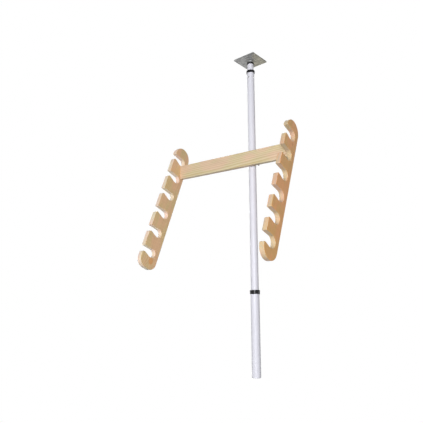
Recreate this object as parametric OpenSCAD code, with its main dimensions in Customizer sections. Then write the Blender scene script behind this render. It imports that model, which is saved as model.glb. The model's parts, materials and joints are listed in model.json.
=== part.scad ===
// Rod rack: two slotted wooden uprights on a crossboard, clamped to a telescoping
// pole that hangs from, and braces against, a square ceiling plate.
// Millimetres. Z is up. The origin is the middle of the face that meets the ceiling,
// on the pole's axis. X runs along the rods, from tips (-X) to butts (+X), and the
// slots open to the front, -Y.

/* [Ceiling plate] */
// Side of the square steel plate
plate_side = 85; // [76:1:120]
// Thickness of the plate
plate_t = 2.5; // [2.4:0.1:4]
// Radius of the plate's corners
plate_corner_r = 3; // [1:0.5:8]
// Diameter of the four screw holes
anchor_hole_d = 5; // [3:0.5:7]
// Diameter of the circle that the four screw holes lie on
anchor_pcd = 54; // [44:1:62]
// Thickness of the rubber pad on top of the plate
pad_t = 1.5; // [1:0.5:4]
// How far the pad stays inside the plate's edge
pad_inset = 1; // [0.5:0.5:5]
// Turn of the plate on its screw, anticlockwise from above
plate_turn = -4; // [-15:0.5:15]
// Diameter of the round boss under the plate
boss_d = 21; // [18:0.5:24]
// Height of the boss
boss_h = 6.5; // [3:0.5:8]

/* [Tubes] */
// Outside diameter of the short tube in the head
head_tube_d = 22.2; // [20:0.2:30]
// Wall of all three tubes
tube_wall = 1.2; // [1:0.1:1.6]
// Gap all round between one tube and the next one outside it
tube_gap = 0.4; // [0.3:0.1:0.6]
// Length of the short tube that shows between the plug and the top collar
head_show = 24.5; // [22:0.5:40]
// Length of the upper tube
upper_tube_len = 890; // [700:10:1200]
// Length of the lower tube, longer for a pole that reaches a floor
lower_tube_len = 265; // [250:5:1600]
// Length of the upper tube that is inside the lower one
pole_overlap = 118; // [90:2:150]

/* [Head plug] */
// Width of the black rim round the short tube
plug_rim = 1.1; // [0.6:0.1:2]
// Thickness of the rim
plug_rim_t = 6.5; // [3:0.5:10]
// Length of the plug inside the short tube
plug_len = 20; // [15:1:30]
// Diameter of the screw that holds the plate to the plug
plate_screw_d = 5; // [4:0.5:5]
// Length of that screw
plate_screw_len = 26; // [22:1:28]

/* [Top collar] */
// Wall of the black collar outside the upper tube
collar_wall = 2.3; // [1.5:0.1:4]
// Height of the collar
collar_h = 9; // [6:0.5:16]
// Thickness of the lip over the tube's end
collar_lip = 3.5; // [1.5:0.5:4]

/* [Stop rivets] */
// Number of rivets round the upper tube
rivet_count = 4; // [3:1:6]
// Distance of the rivets below the upper tube's end
rivet_drop = 23.5; // [18:0.5:30]
// Diameter of a rivet's shank
rivet_d = 4; // [3:0.5:5]
// Diameter of a rivet's domed head
rivet_head_d = 6.6; // [5.5:0.1:8]
// Height of the dome
rivet_head_h = 1.2; // [0.8:0.1:2]

/* [Spring] */
// Outside diameter of the compression spring
spring_d = 17; // [14:0.5:17]
// Thickness of the spring's wire
spring_wire = 2; // [1.5:0.5:2.5]
// Length of the spring with the pole fitted
spring_len = 100; // [60:5:150]
// Length of the plunger's skirt, which slides in the upper tube
plunger_len = 25; // [20:1:40]
// Length of the plunger's spigot inside the short tube
plunger_spigot = 15; // [10:1:18]
// Depth of the spring's pocket in the plunger
plunger_pocket = 15; // [8:1:17]
// Height of the seat under the spring
seat_h = 12; // [8:1:20]
// Height of the stub that centres the spring on its seat
seat_stub = 6; // [3:1:10]

/* [Lock collar] */
// Height of the twist collar
lock_h = 13; // [11:0.5:20]
// Wall of the twist collar
lock_wall = 1.2; // [1:0.1:3]
// Thickness of the collar's lip
lock_lip = 2.5; // [1.5:0.5:3]
// How far the collar stands above the lower tube's end
lock_rise = 6.5; // [6:0.5:8]
// Thickness of the ferrule that the collar screws on to
ferrule_t = 0.8; // [0.6:0.1:2]
// Length of the ferrule
ferrule_len = 10.5; // [8:0.5:16]
// Width of the slit in the collet and in the bush
slit_w = 2; // [1:0.5:4]

/* [Guide and foot] */
// Height of the guide's ring under the upper tube
guide_h = 12; // [8:1:20]
// Length of the guide's spigot inside the upper tube
guide_spigot = 15; // [10:1:25]
// Length of the plug in the lower end
foot_len = 15; // [10:1:25]
// Width of the foot plug's chamfered edge
foot_chamfer = 1; // [0.5:0.1:2]

/* [Wood] */
// Thickness of the uprights and of the crossboard
wood_t = 16; // [12:0.5:20]
// Length of the crossboard between the uprights
board_len = 446; // [360:2:600]
// Height of the crossboard
board_h = 50; // [44:1:50]
// Distance of the crossboard's butt end from the pole's axis
board_butt = 150; // [100:2:220]
// Distance of the crossboard's middle below the ceiling
rack_drop = 373; // [340:0.5:420]
// Lean of the uprights, with their lower ends forward
rack_tilt = 23; // [18:1:23]
// Width of an upright
upright_w = 76; // [76:1:90]
// Length of the tip-side upright above its first slot's lower wall
tip_head = 71; // [62:1:90]
// Length of the butt-side upright above its first slot's lower wall
butt_head = 76; // [66:1:90]
// Length of the tip-side upright below its last slot's lower wall
tip_toe = 41; // [24:1:50]
// Length of the butt-side upright below its last slot's lower wall
butt_toe = 35; // [24:1:50]
// Radius of the two lower corners of the tip-side upright
tip_toe_r = 29; // [20:1:37]
// Radius of the two lower corners of the butt-side upright
butt_toe_r = 36; // [20:1:37]

/* [Slots] */
// Number of slots in each upright
slot_count = 6; // [2:1:7]
// Distance from one slot to the next
slot_pitch = 77; // [77:1:85]
// Width of the slots on the tip side
slot_w_tip = 30; // [20:1:32]
// Width of the slots on the butt side
slot_w_butt = 40; // [30:1:40]
// Depth of the slots from the front edge
slot_depth = 58; // [45:1:58]
// Height of the lip at the mouth of a tip-side slot, which keeps the rod in
slot_lip_tip = 7; // [2:0.5:8]
// Height of the lip at the mouth of a butt-side slot
slot_lip_butt = 3; // [2:0.5:8]
// Length of a lip's flat top, in from the front edge
lip_flat = 11; // [9:1:14]
// How far before the round seat a lip's ramp ends
lip_end = 8; // [4:1:10]
// How much lower the upper wall of a slot is at its mouth
mouth_drop = 3; // [1:0.5:4]
// Radius of the upper corner of each tip-side finger, which guides a rod into its slot
tip_finger_r = 8; // [2:0.5:8]
// Radius of the upper corner of each butt-side finger
butt_finger_r = 4; // [2:0.5:8]
// Radius of the lower corner of each finger
finger_low_r = 2; // [1:0.5:8]
// Distance along an upright from the first slot's lower wall to the board's lower back edge
board_seat = 42; // [40:0.5:44]
// Distance of the board's lower back edge from an upright's back edge
board_margin = 0.8; // [0.5:0.1:4]

/* [Wood screws] */
// Distance of the joint screws above and below the board's middle
joint_screw_off = 14; // [10:0.5:16]
// Shank diameter of the joint screws
joint_screw_d = 4.4; // [3.5:0.1:5]
// Head diameter of the joint screws
joint_head_d = 8.6; // [7.5:0.1:9.4]
// Height of the joint screws' heads
joint_head_h = 2.8; // [2:0.1:3.5]
// Length of the joint screws under the head
joint_screw_len = 42; // [30:1:60]
// Diameter of the wooden plugs over the screws
wood_plug_d = 10; // [10:0.5:12]
// Depth of the wooden plugs
wood_plug_t = 4; // [3:0.5:5]

/* [Pole clamp] */
// Wall of the split bush on the pole
bush_wall = 3.45; // [2.5:0.05:5]
// Width of the bush's end flanges
bush_flange = 2.8; // [1.5:0.1:3.5]
// Thickness of the bush's end flanges
bush_flange_t = 2; // [1.5:0.5:3]
// Gap between the bush and the crossboard's back
board_gap = 0.3; // [0.2:0.1:1]
// Height of the clamp above the crossboard's middle
clamp_rise = 4; // [0:0.5:5]
// Thickness of the steel strap
strap_t = 2; // [1.5:0.1:3]
// Height of the steel strap
strap_h = 30; // [26:1:34]
// Half width of the strap, out to the ends of its feet
strap_half_w = 40; // [36:1:60]
// Height of the flat land that the nut sits on
strap_land = 1; // [0.5:0.1:2]
// Distance of the strap's screws from the pole's axis
strap_screw_x = 30; // [28:0.5:31]
// Distance of the strap's screws above and below the clamp's middle
strap_screw_z = 9; // [6:0.5:9]
// Shank diameter of the strap's screws
strap_screw_d = 3.8; // [3:0.1:4.5]
// Length of the strap's screws under the head
strap_screw_len = 13; // [8:0.5:13]
// Head diameter of the strap's screws
strap_head_d = 7.4; // [6:0.1:9]
// Head height of the strap's screws
strap_head_h = 2.2; // [1.5:0.1:3]

/* [Clamp knob] */
// Diameter of the threaded stud
stud_d = 6; // [5:0.5:8]
// Width of the nut across its flats
nut_af = 10; // [10:0.5:14]
// Thickness of the nut
nut_t = 5; // [4:0.5:8]
// Gap between the nut and the knob
knob_gap = 3; // [1:0.5:8]
// Radius of the circle that the knob's lobes lie on
knob_lobe_at = 9; // [8:0.5:16]
// Radius of one lobe
knob_lobe_r = 4.6; // [4:0.1:6]
// Number of lobes
knob_lobes = 5; // [3:1:8]
// Thickness of the knob
knob_t = 12; // [10:0.5:18]
// Depth of the stud inside the knob
knob_grip = 8; // [5:0.5:8]

/* [Hidden] */

$fn = 64;
// Radial clearance where a round part turns or slides on another
fit_run = 0.05;
// Radial clearance where a round part is fixed in its hole
fit_fixed = 0.05;
// Gap between end faces that must not rub
fit_end = 0.3;
// Makes a cut run past the faces it goes through
cut = 1;

// Radii of the tubes
head_r = head_tube_d / 2;
head_bore = head_r - tube_wall;
upper_bore = head_r + tube_gap;
upper_r = upper_bore + tube_wall;
lower_bore = upper_r + tube_gap;
lower_r = lower_bore + tube_wall;

// Heights along the pole, from the ceiling down
plate_top = -pad_t;
plate_low = plate_top - plate_t;
boss_low = plate_low - boss_h;
head_top = boss_low - plug_rim_t;
collar_top = head_top - head_show;
upper_top = collar_top - collar_lip;
rivet_z = upper_top - rivet_drop;
plunger_top = rivet_z - rivet_d / 2 - fit_end;
plunger_low = plunger_top - plunger_len;
spring_top = plunger_low + plunger_pocket;
seat_top = spring_top - spring_len;
upper_low = upper_top - upper_tube_len;
lower_top = upper_low + pole_overlap;
lower_low = lower_top - lower_tube_len;
lock_top = lower_top + lock_rise;

// Countersunk head of the plate's screw
plate_head_r = plate_screw_d / 2 + plate_t - 0.3;

// Ferrule and twist collar
ferrule_r = lower_r + ferrule_t;
lock_bore = ferrule_r + fit_run;
lock_r = lock_bore + lock_wall;

// Bush, strap and knob on the pole's axis
bush_bore = upper_r + fit_run;
bush_r = bush_bore + bush_wall;
bush_flange_r = bush_r + bush_flange;
strap_bore = bush_r + fit_run;
strap_r = strap_bore + strap_t;
strap_back = strap_r + strap_land;
knob_front = strap_back + nut_t + knob_gap;
bush_h = strap_h + 2 * (fit_end + bush_flange_t);

// Crossboard and uprights
board_back = -(bush_r + board_gap);
board_z = -rack_drop;
board_low = board_z - board_h / 2;
clamp_z = board_z + clamp_rise;
board_right = board_butt;
board_left = board_butt - board_len;
joint_screw_y = board_back - wood_t / 2;
upright_end_r = upright_w / 2;
last_slot = -(slot_count - 1) * slot_pitch;

wood = [0.80, 0.62, 0.43];
wood_light = [0.87, 0.77, 0.59];
enamel = [0.90, 0.90, 0.93];
black = [0.08, 0.08, 0.10];
steel = [0.56, 0.57, 0.55];
nylon = [0.85, 0.85, 0.80];

// A straight ring or tube from height low to height high
module ring(r_out, r_in, low, high) {
    translate([0, 0, low]) difference() {
        cylinder(r = r_out, h = high - low);
        translate([0, 0, -cut]) cylinder(r = r_in, h = high - low + 2 * cut);
    }
}

// A solid round bar from height low to height high
module rod(r, low, high) {
    translate([0, 0, low]) cylinder(r = r, h = high - low);
}

// Flat square with round corners
module rounded_square(side, r) {
    inner = side - 2 * r;
    square([side, inner], center = true);
    square([inner, side], center = true);
    for (x = [-1, 1], y = [-1, 1]) translate([x * inner / 2, y * inner / 2]) circle(r = r);
}

// Places a child at each of the four ceiling screws
module at_anchors() {
    for (a = [0 : 90 : 270]) rotate([0, 0, a]) translate([anchor_pcd / 2, 0, 0]) children();
}

module ceiling_pad() {
    side = plate_side - 2 * pad_inset;
    color(black) translate([0, 0, plate_top]) rotate(plate_turn) difference() {
        linear_extrude(pad_t) rounded_square(side, plate_corner_r);
        translate([0, 0, -cut]) at_anchors() cylinder(d = anchor_hole_d + 1, h = pad_t + 2 * cut);
    }
}

// Square plate with a round boss under its middle
module ceiling_plate() {
    head_h = plate_head_r - plate_screw_d / 2;
    color(steel) translate([0, 0, plate_low]) rotate(plate_turn) difference() {
        union() {
            linear_extrude(plate_t) rounded_square(plate_side, plate_corner_r);
            rod(boss_d / 2, -boss_h, plate_t / 2);
        }
        translate([0, 0, -cut]) at_anchors() cylinder(d = anchor_hole_d, h = plate_t + 2 * cut);
        rod(plate_screw_d / 2 + fit_fixed, -boss_h - cut, plate_t + cut);
        translate([0, 0, plate_t - head_h - fit_fixed]) cylinder(
            r1 = plate_screw_d / 2 + fit_fixed, r2 = plate_head_r + 2 * fit_fixed, h = head_h + 2 * fit_fixed
        );
    }
}

module plate_screw() {
    head_h = plate_head_r - plate_screw_d / 2;
    color(steel) {
        rod(plate_screw_d / 2, plate_top - plate_screw_len, plate_top - head_h);
        translate([0, 0, plate_top - head_h])
            cylinder(r1 = plate_screw_d / 2, r2 = plate_head_r, h = head_h);
    }
}

// Black plug: its rim shows under the boss, and its shank fills the short tube's end
module head_plug() {
    color(black) difference() {
        union() {
            rod(head_r + plug_rim, head_top, boss_low);
            rod(head_bore - fit_fixed, head_top - plug_len, head_top);
        }
        rod(plate_screw_d / 2 + fit_fixed, plate_top - plate_screw_len - cut, boss_low + cut);
    }
}

module head_tube() {
    color(enamel) ring(head_r, head_bore, plunger_top, head_top);
}

// Nylon plunger: pressed in the short tube, slides in the upper tube, holds the spring's end
module spring_plunger() {
    color(nylon) difference() {
        union() {
            rod(upper_bore - fit_run, plunger_low, plunger_top);
            rod(head_bore - fit_fixed, plunger_top, plunger_top + plunger_spigot);
        }
        rod(spring_d / 2 + fit_end, plunger_low - cut, spring_top);
    }
}

// Places a child at each stop rivet, with +X outwards from the pole's axis
module at_rivets() {
    step = 360 / rivet_count;
    for (i = [0 : rivet_count - 1]) translate([0, 0, rivet_z]) rotate([0, 0, i * step]) children();
}

module upper_tube() {
    color(enamel) difference() {
        ring(upper_r, upper_bore, upper_low, upper_top);
        at_rivets() rotate([0, 90, 0]) cylinder(d = rivet_d + 2 * fit_fixed, h = upper_r + cut);
    }
}

module top_collar() {
    color(black) difference() {
        rod(upper_r + collar_wall, collar_top - collar_h, collar_top);
        rod(head_r + fit_run, upper_top - cut, collar_top + cut);
        rod(upper_r + fit_fixed, collar_top - collar_h - cut, upper_top);
    }
}

// Domed rivets whose inner ends stop the plunger from leaving the tube
module stop_rivets() {
    dome_r = (pow(rivet_head_d / 2, 2) + pow(rivet_head_h, 2)) / (2 * rivet_head_h);
    tip = head_r + 2 * fit_run;
    color(enamel) difference() {
        at_rivets() rotate([0, 90, 0]) {
            translate([0, 0, tip]) cylinder(d = rivet_d, h = upper_r - tip);
            intersection() {
                translate([0, 0, upper_r + rivet_head_h - dome_r]) sphere(r = dome_r);
                translate([0, 0, upper_r - 1]) cylinder(d = rivet_head_d, h = rivet_head_h + 1);
            }
        }
        difference() {
            translate([0, 0, rivet_z])
                ring(upper_r + fit_fixed, upper_bore - fit_fixed, -rivet_head_d, rivet_head_d);
            at_rivets() rotate([0, 90, 0]) cylinder(d = rivet_d, h = upper_r + cut);
        }
    }
}

// The spring is hidden in the tube, so it is a plain sleeve of its outside and inside sizes
module tension_spring() {
    color(steel) ring(spring_d / 2, spring_d / 2 - spring_wire, seat_top, spring_top);
}

module spring_seat() {
    color(nylon) {
        rod(upper_bore - fit_fixed, seat_top - seat_h, seat_top);
        rod(spring_d / 2 - spring_wire - fit_end, seat_top, seat_top + seat_stub);
    }
}

// Nylon ring on the upper tube's end, which centres it in the lower tube
module tube_guide() {
    color(nylon) difference() {
        union() {
            rod(lower_bore - fit_run, upper_low - guide_h, upper_low);
            rod(upper_bore - fit_fixed, upper_low, upper_low + guide_spigot);
        }
        rod(upper_bore / 2, upper_low - guide_h - cut, upper_low + guide_spigot + cut);
    }
}

module lower_tube() {
    color(enamel) ring(lower_r, lower_bore, lower_low, lower_top);
}

module lock_ferrule() {
    color(enamel) ring(ferrule_r, lower_r + fit_fixed, lower_top - ferrule_len, lower_top);
}

// Split ring that the twist collar squeezes on to the upper tube
module lock_collet() {
    low = lower_top + fit_end;
    high = lock_top - lock_lip - fit_end;
    color(nylon) difference() {
        ring(lock_bore - 2 * fit_run, bush_bore, low, high);
        translate([0, -slit_w / 2, low - cut]) cube([lock_r, slit_w, high - low + 2 * cut]);
    }
}

module lock_collar() {
    edge = lock_wall / 2;
    color(black) rotate_extrude() polygon([
        [bush_bore + fit_end, lock_top],
        [lock_r - edge, lock_top],
        [lock_r, lock_top - edge],
        [lock_r, lock_top - lock_h + edge],
        [lock_r - edge, lock_top - lock_h],
        [lock_bore, lock_top - lock_h],
        [lock_bore, lock_top - lock_lip],
        [bush_bore + fit_end, lock_top - lock_lip],
    ]);
}

module foot_plug() {
    r = lower_bore - fit_fixed;
    color(enamel) difference() {
        union() {
            translate([0, 0, lower_low]) cylinder(r1 = r - foot_chamfer, r2 = r, h = foot_chamfer);
            rod(r, lower_low + foot_chamfer, lower_low + foot_len);
        }
        rod(r - 3, lower_low + 3, lower_low + foot_len + cut);
    }
}

// Split nylon bush: it slides on the pole, and the rack turns on it
module pole_bush() {
    low = clamp_z - bush_h / 2;
    high = clamp_z + bush_h / 2;
    color(black) difference() {
        union() {
            rod(bush_r, low, high);
            rod(bush_flange_r, low, low + bush_flange_t);
            rod(bush_flange_r, high - bush_flange_t, high);
        }
        rod(bush_bore, low - cut, high + cut);
        translate([0, -slit_w / 2, low - cut]) cube([bush_flange_r + cut, slit_w, bush_h + 2 * cut]);
    }
}

// Puts a flat drawing of an upright in place. Its y is 0 at the back edge and its z is 0 at
// the first slot's lower wall. The board's lower back edge sits on it.
module lean(x) {
    translate([x, board_back, board_low])
        rotate([-rack_tilt, 0, 0])
            translate([0, board_margin, board_seat])
                rotate([90, 0, 90]) children();
}

// What is taken off a finger's corner to round it
module corner(r) {
    difference() {
        translate([-cut, -cut]) square(r + cut);
        translate([r, r]) circle(r = r);
    }
}

// One slot: from its mouth at the front edge a lip and a ramp lead down to a round seat, and
// the upper wall drops a little towards the mouth. The fingers on both sides are rounded.
module slot(w, lip, finger_r) {
    front = -upright_w;
    seat = slot_depth - upright_w - w / 2;
    high = w - mouth_drop;
    translate([seat, w / 2]) circle(d = w);
    polygon([
        [front - cut, lip], [front + lip_flat, lip], [seat - lip_end, 0], [seat, 0],
        [seat, w], [front, high], [front - cut, high],
    ]);
    translate([front, lip]) mirror([0, 1]) corner(finger_r);
    translate([front, high]) corner(finger_low_r);
}

// An upright's side view: a half round head, two round corners at the toe, and its slots
module upright_outline(w, lip, finger_r, head, toe, toe_r) {
    top = head - upright_end_r;
    low = last_slot - toe;
    difference() {
        union() {
            translate([-upright_end_r, top]) circle(r = upright_end_r, $fn = 96);
            translate([-upright_w, low + toe_r]) square([upright_w, top - low - toe_r]);
            translate([-upright_w + toe_r, low]) square([upright_w - 2 * toe_r, toe_r + cut]);
            for (y = [-toe_r, toe_r - upright_w]) translate([y, low + toe_r]) circle(r = toe_r, $fn = 96);
        }
        for (i = [0 : slot_count - 1]) translate([0, -i * slot_pitch]) slot(w, lip, finger_r);
    }
}

// Places a child at each joint screw of one end, with +Z pointing out of the rack
module at_joint_screws(side) {
    x = side > 0 ? board_right + wood_t : board_left - wood_t;
    for (z = [-1, 1])
        translate([x, joint_screw_y, board_z + z * joint_screw_off]) rotate([0, side * 90, 0]) children();
}

// Hole for a joint screw and its plug, from the upright's outer face inwards
module joint_hole() {
    depth = wood_plug_t + joint_head_h + joint_screw_len + 2 * fit_end;
    rod(wood_plug_d / 2 + fit_fixed, -wood_plug_t, cut);
    rod(joint_head_d / 2 + fit_fixed, -wood_plug_t - joint_head_h, 0);
    rod(joint_screw_d / 2 + fit_fixed, -depth, 0);
}

module tip_upright() {
    color(wood) difference() {
        lean(board_left - wood_t) linear_extrude(wood_t)
            upright_outline(slot_w_tip, slot_lip_tip, tip_finger_r, tip_head, tip_toe, tip_toe_r);
        at_joint_screws(-1) joint_hole();
    }
}

module butt_upright() {
    color(wood) difference() {
        lean(board_right) linear_extrude(wood_t)
            upright_outline(slot_w_butt, slot_lip_butt, butt_finger_r, butt_head, butt_toe, butt_toe_r);
        at_joint_screws(1) joint_hole();
    }
}

// Places a child at each strap screw, on the board's back face, with +Z to the back
module at_strap_screws() {
    for (x = [-1, 1], z = [-1, 1])
        translate([x * strap_screw_x, board_back, clamp_z + z * strap_screw_z])
            rotate([-90, 0, 0]) children();
}

module crossboard() {
    color(wood_light) difference() {
        translate([board_left, board_back - wood_t, board_low]) cube([board_len, wood_t, board_h]);
        rod(bush_flange_r + fit_end, board_low - cut, board_low + board_h + cut);
        for (side = [-1, 1]) at_joint_screws(side) joint_hole();
        at_strap_screws() rod(strap_screw_d / 2 + fit_fixed, strap_t - strap_screw_len - fit_end, cut);
    }
}

module joint_screws() {
    under_head = -wood_plug_t - joint_head_h;
    color(steel) for (side = [-1, 1]) at_joint_screws(side) {
        rod(joint_head_d / 2, under_head, -wood_plug_t);
        rod(joint_screw_d / 2, under_head - joint_screw_len, under_head);
    }
}

module wood_plugs() {
    color(wood) for (side = [-1, 1]) at_joint_screws(side) rod(wood_plug_d / 2, fit_fixed - wood_plug_t, 0);
}

// Steel strap round the back of the bush, with a foot each side and a land for the nut
module clamp_strap() {
    color(steel) difference() {
        translate([0, 0, clamp_z - strap_h / 2]) linear_extrude(strap_h) difference() {
            union() {
                circle(r = strap_r);
                translate([-strap_r, board_back]) square([2 * strap_r, -board_back]);
                translate([-strap_half_w, board_back]) square([2 * strap_half_w, strap_t]);
                translate([-nut_af / 2 - 1, 0]) square([nut_af + 2, strap_back]);
            }
            circle(r = strap_bore);
            translate([-strap_bore, -strap_r - cut]) square([2 * strap_bore, strap_r + cut]);
        }
        at_strap_screws() cylinder(d = strap_screw_d + 2 * fit_fixed, h = strap_t + cut);
        translate([0, 0, clamp_z]) rotate([-90, 0, 0]) rod(stud_d / 2 + fit_end, 0, strap_back + cut);
    }
}

module strap_screws() {
    color(steel) at_strap_screws() {
        rod(strap_head_d / 2, strap_t, strap_t + strap_head_h);
        rod(strap_screw_d / 2, strap_t - strap_screw_len, strap_t);
    }
}

module clamp_nut() {
    color(steel) translate([0, strap_back, clamp_z]) rotate([-90, 0, 0]) difference() {
        cylinder(d = nut_af / cos(30), h = nut_t, $fn = 6);
        translate([0, 0, -cut]) cylinder(r = stud_d / 2 + fit_run, h = nut_t + 2 * cut);
    }
}

module clamp_knob() {
    color(black) translate([0, knob_front, clamp_z]) rotate([-90, 0, 0]) difference() {
        linear_extrude(knob_t) {
            circle(r = knob_lobe_at);
            for (i = [0 : knob_lobes - 1])
                rotate(i * 360 / knob_lobes) translate([knob_lobe_at, 0]) circle(r = knob_lobe_r);
        }
        translate([0, 0, -cut]) cylinder(r = stud_d / 2 + fit_fixed, h = knob_grip + cut);
    }
}

// Threaded stud: its end presses the bush on to the pole
module knob_stud() {
    start = bush_r + fit_end;
    color(steel) translate([0, start, clamp_z]) rotate([-90, 0, 0])
        cylinder(d = stud_d, h = knob_front + knob_grip - fit_end - start);
}

ceiling_pad();
ceiling_plate();
plate_screw();
head_plug();
head_tube();
spring_plunger();
upper_tube();
top_collar();
stop_rivets();
tension_spring();
spring_seat();
tube_guide();
lower_tube();
lock_ferrule();
lock_collet();
foot_plug();
lock_collar();
pole_bush();
tip_upright();
butt_upright();
crossboard();
joint_screws();
wood_plugs();
clamp_strap();
strap_screws();
clamp_nut();
clamp_knob();
knob_stud();
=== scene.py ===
"""Rod rack: two slotted pine uprights and a crossboard, clamped to a telescoping white pole.

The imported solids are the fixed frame. Each operator models one piece, or a group of like
pieces, in metres and in the frame's own place, paints it and lets it ride on its body."""

import json
import math

import bmesh
import bpy
from bpy.props import FloatProperty, FloatVectorProperty, IntProperty, PointerProperty
from mathutils import Euler, Matrix, Vector


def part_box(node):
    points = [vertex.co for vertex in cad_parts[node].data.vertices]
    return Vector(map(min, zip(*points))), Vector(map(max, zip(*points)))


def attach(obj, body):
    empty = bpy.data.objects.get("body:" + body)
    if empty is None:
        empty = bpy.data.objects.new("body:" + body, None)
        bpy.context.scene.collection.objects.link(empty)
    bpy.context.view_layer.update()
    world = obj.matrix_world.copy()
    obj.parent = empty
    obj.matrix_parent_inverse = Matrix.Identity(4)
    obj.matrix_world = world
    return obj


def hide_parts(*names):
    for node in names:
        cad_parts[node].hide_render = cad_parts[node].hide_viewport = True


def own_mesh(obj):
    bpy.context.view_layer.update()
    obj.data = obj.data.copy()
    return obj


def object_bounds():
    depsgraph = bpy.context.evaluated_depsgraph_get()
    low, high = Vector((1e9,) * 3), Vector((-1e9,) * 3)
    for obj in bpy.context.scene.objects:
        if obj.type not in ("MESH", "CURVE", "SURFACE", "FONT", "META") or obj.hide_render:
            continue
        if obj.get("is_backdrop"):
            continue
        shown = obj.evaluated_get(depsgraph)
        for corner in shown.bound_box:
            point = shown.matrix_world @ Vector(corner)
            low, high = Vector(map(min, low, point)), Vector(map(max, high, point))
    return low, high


bl_info = {
    "name": "Rod rack",
    "version": (1, 0, 0),
    "blender": (4, 5, 0),
    "location": "3D View > Sidebar > Rod rack",
    "description": "Models and finishes the pieces of a ceiling-pole rod rack",
    "category": "Object",
}

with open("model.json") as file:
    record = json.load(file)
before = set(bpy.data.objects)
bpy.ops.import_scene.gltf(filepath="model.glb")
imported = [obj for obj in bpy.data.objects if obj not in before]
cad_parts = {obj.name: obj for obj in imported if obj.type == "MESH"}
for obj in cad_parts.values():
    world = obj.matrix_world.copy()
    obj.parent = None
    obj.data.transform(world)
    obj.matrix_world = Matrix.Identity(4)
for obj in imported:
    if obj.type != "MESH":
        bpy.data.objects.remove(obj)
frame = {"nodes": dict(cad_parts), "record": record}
CAD_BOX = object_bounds()
RECORD = frame["record"]
BODY = {node: body for body, nodes in RECORD["behaviour"]["bodies"].items() for node in nodes}
MM = 0.001
FIT = 0.05 * MM  # gap between a round piece and what is fixed on it or in it
OVER = MM  # how far a tool reaches past the face that it cuts or joins
BROKEN = 0.3 * MM  # radius of an edge that is only broken
X, Y, Z = Vector((1, 0, 0)), Vector((0, 1, 0)), Vector((0, 0, 1))
BACKWARDS = (math.radians(-90), 0, 0)  # turns a piece that stands along Z to point along +Y


# Sizes and colours


def size(name, description, millimetres):
    """A length that a user can change, given here in millimetres."""
    start = millimetres * MM
    return FloatProperty(name=name, description=description, default=start, unit="LENGTH", precision=5)


def angle(name, description, degrees):
    """An angle that a user can change, given here in degrees."""
    start = math.radians(degrees)
    return FloatProperty(name=name, description=description, default=start, unit="ROTATION", precision=2)


def colour(name, description, value):
    """A colour that a user can change, in linear red, green and blue."""
    return FloatVectorProperty(
        name=name, description=description, default=value, subtype="COLOR", size=3, min=0, max=1
    )


def times(value, factors):
    """A colour multiplied by one number, or by a number each for red, green and blue."""
    factors = factors if isinstance(factors, tuple) else (factors,) * 3
    return tuple(part * factor for part, factor in zip(value, factors))


def radius_of(node):
    """The outer radius of a CAD node that is round about the pole's axis."""
    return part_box(node)[1].x


def middle_of(node):
    """The middle of a CAD node's box."""
    low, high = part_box(node)
    return (low + high) / 2


class HeadSizes(bpy.types.PropertyGroup):
    """The ceiling plate, its plug and the short tube"""

    plate_side: size("Plate side", "Side of the square plate", 85)
    plate_t: size("Plate", "Thickness of the plate", 2.5)
    plate_turn: angle("Plate turn", "Turn of the plate on its screw, anticlockwise from above", -4)
    corner: size("Plate corner", "Radius of the plate's corners", 3)
    boss: size("Boss", "Diameter of the boss under the plate", 21)
    hole: size("Screw hole", "Diameter of the plate's screw holes", 5)
    hole_circle: size("Hole circle", "Diameter of the circle that the holes lie on", 54)
    plate_ease: size("Plate edge", "Rounding of the plate's edges and holes", 0.4)
    plug_bore: size("Plug bore", "Diameter of the screw's hole in the plug", 5.1)
    plug_rim_h: size("Plug rim", "Thickness of the plug's rim", 6.5)
    tube_wall: size("Tube wall", "Wall of the tubes", 1.2)
    tube_ease: size("Tube edge", "Rounding of the tubes' cut ends", 0.35)


class PoleSizes(bpy.types.PropertyGroup):
    """The collars, rivets, spring and foot of the pole"""

    collar_lip: size("Collar lip", "Thickness of the top collar's lip", 3.5)
    collar_ease: size("Collar edge", "Rounding of the collars' edges", 0.9)
    rib_count: IntProperty(name="Grip ribs", description="Number of ribs on the twist collar", default=24)
    rib_depth: size("Rib depth", "Depth of the flutes between the grip ribs", 0.35)
    lock_lip: size("Twist collar lip", "Thickness of the twist collar's lip", 2.5)
    rivet_count: IntProperty(name="Rivets", description="Number of stop rivets", default=4)
    rivet_head: size("Rivet head", "Diameter of a rivet's dome", 6.6)
    rivet_rise: size("Rivet dome", "Height of a rivet's dome", 1.2)
    wire: size("Spring wire", "Thickness of the spring's wire", 2)
    coils: IntProperty(name="Spring turns", description="Number of the spring's turns", default=12)
    foot_dish: size("Foot dish", "Depth of the dish in the foot plug", 0.7)


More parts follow.
